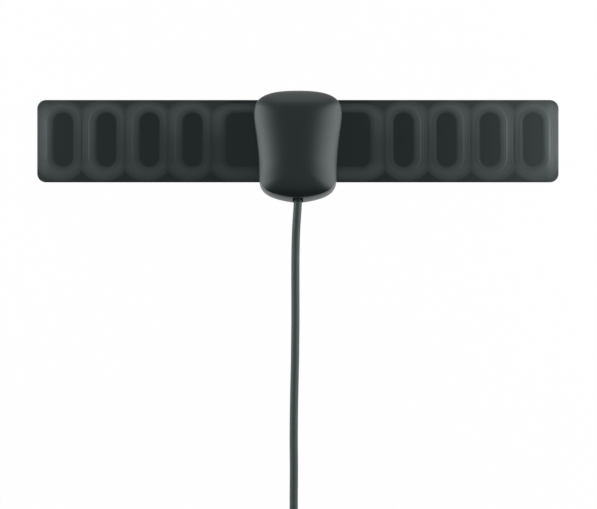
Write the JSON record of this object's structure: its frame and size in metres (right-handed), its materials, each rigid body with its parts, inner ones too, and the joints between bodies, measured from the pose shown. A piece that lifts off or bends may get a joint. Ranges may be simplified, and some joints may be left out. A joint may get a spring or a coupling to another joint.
{
  "type": "flat indoor tv antenna",
  "caption": "Thin film strip with two chains of oval foil rings, a mouse-shaped pod over its middle, and a coaxial cord that ends in a screw-on plug.",
  "frame": {"origin": "centre of the pod's flat back face, which is the centre of the bottom of the antenna without its cord", "axes": "+X along the strip, +Y across it away from the cord, +Z out of the front; the cord leaves to -Y"},
  "size_m": [0.25, 0.2686, 0.0139],
  "materials": {
    "cover_plastic": "satin, smooth moulded",
    "back_plastic": "fine matt",
    "smoke_film": "smooth, slightly glossy tinted film",
    "foil": "soft satin",
    "screw_steel": "plated",
    "board": "green lacquer",
    "tinned_brass": "tinned",
    "ferrite": "matt",
    "red_wire": "enamelled",
    "green_wire": "enamelled",
    "chip": "matt",
    "grommet_rubber": "matt",
    "crimp_metal": "satin",
    "braid": "woven",
    "dielectric": "waxy",
    "copper": "bright",
    "jacket": "thin glossy jacket over fine braid",
    "tie_plastic": "matt",
    "boot_rubber": "satin",
    "nickel": "nickel plated",
    "pin_copper": "bright"
  },
  "bodies": {
    "antenna": {"back_cover": "back_plastic", "front_cover": "cover_plastic", "cover_screws": "screw_steel", "back_film": "smoke_film", "left_foil": "foil", "right_foil": "foil", "front_film": "smoke_film", "circuit_board": "board", "left_rivet": "tinned_brass", "right_rivet": "tinned_brass", "balun_core": "ferrite", "primary_winding": "red_wire", "secondary_winding": "green_wire", "matching_capacitors": "chip", "cable_grommet": "grommet_rubber", "crimp_ring": "crimp_metal", "braid_pigtail": "braid", "cable_insulation": "dielectric", "centre_conductor": "copper", "cable_run": "jacket", "cable_coil": "jacket", "coil_tie": "tie_plastic", "cable_tail": "jacket", "plug_boot": "boot_rubber", "plug_grip": "boot_rubber", "plug_barrel": "nickel", "plug_insulator": "dielectric", "plug_pin": "pin_copper"},
    "nut": {"coupling_nut": "nickel"}
  },
  "joints": [
    {"name": "nut_spin", "type": "hinge", "parent": "antenna", "child": "nut", "pos_m": [0.0958, -0.235, 0.0067], "axis": [1, 0, 0], "continuous": true}
  ]
}
